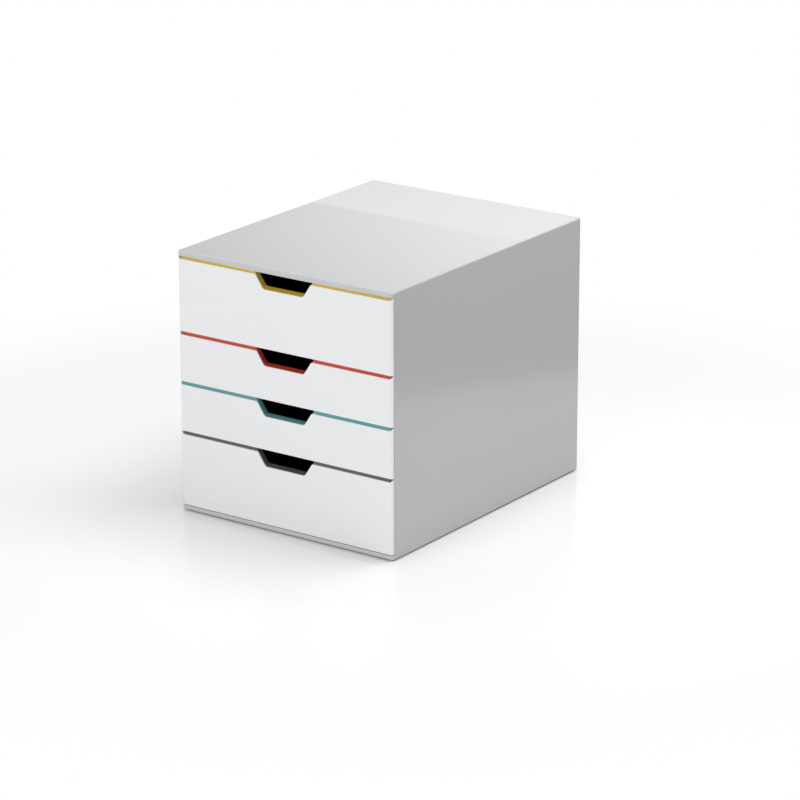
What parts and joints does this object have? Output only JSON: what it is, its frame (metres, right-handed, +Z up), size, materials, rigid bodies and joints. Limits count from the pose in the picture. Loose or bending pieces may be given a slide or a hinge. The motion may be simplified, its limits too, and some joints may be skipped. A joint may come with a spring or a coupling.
{
  "type": "desktop drawer box",
  "caption": "Desktop drawer box: a light grey plastic sleeve on rubber feet with sliding drawers, each with a white front, a coloured edge line and a finger notch.",
  "frame": {"origin": "on the table, under the middle of the box", "axes": "+X to the viewer's right when facing the drawers, +Y from the drawer fronts to the back, +Z up"},
  "size_m": [0.28, 0.356, 0.292],
  "materials": {
    "casing_grey": "light grey moulded polystyrene, fine satin",
    "runner_grey": "mid grey moulded polystyrene",
    "front_white": "white moulded ABS, satin",
    "tray_anthracite": "dark grey moulded polystyrene, fine grain",
    "frame_yellow": "yellow moulded ABS, satin",
    "frame_red": "brick red moulded ABS, satin",
    "frame_teal": "grey teal moulded ABS, satin",
    "frame_taupe": "warm dark grey moulded ABS, satin",
    "foot_rubber": "matt black rubber"
  },
  "bodies": {
    "casing": {"casing_sleeve": "casing_grey", "back_panel": "casing_grey", "runner_frame_left": "runner_grey", "runner_frame_right": "runner_grey", "foot_front_left": "foot_rubber", "foot_front_right": "foot_rubber", "foot_rear_left": "foot_rubber", "foot_rear_right": "foot_rubber"},
    "top_drawer": {"top_drawer_tray": "tray_anthracite", "top_drawer_colour_frame": "frame_yellow", "top_drawer_front_panel": "front_white"},
    "upper_drawer": {"upper_drawer_tray": "tray_anthracite", "upper_drawer_colour_frame": "frame_red", "upper_drawer_front_panel": "front_white"},
    "lower_drawer": {"lower_drawer_tray": "tray_anthracite", "lower_drawer_colour_frame": "frame_teal", "lower_drawer_front_panel": "front_white"},
    "bottom_drawer": {"bottom_drawer_tray": "tray_anthracite", "bottom_drawer_colour_frame": "frame_taupe", "bottom_drawer_front_panel": "front_white"}
  },
  "joints": [
    {"name": "top_drawer_slide", "type": "slide", "parent": "casing", "child": "top_drawer", "axis": [0, -1, 0], "range_m": [0, 0.25]},
    {"name": "upper_drawer_slide", "type": "slide", "parent": "casing", "child": "upper_drawer", "axis": [0, -1, 0], "range_m": [0, 0.25]},
    {"name": "lower_drawer_slide", "type": "slide", "parent": "casing", "child": "lower_drawer", "axis": [0, -1, 0], "range_m": [0, 0.25]},
    {"name": "bottom_drawer_slide", "type": "slide", "parent": "casing", "child": "bottom_drawer", "axis": [0, -1, 0], "range_m": [0, 0.25]}
  ]
}
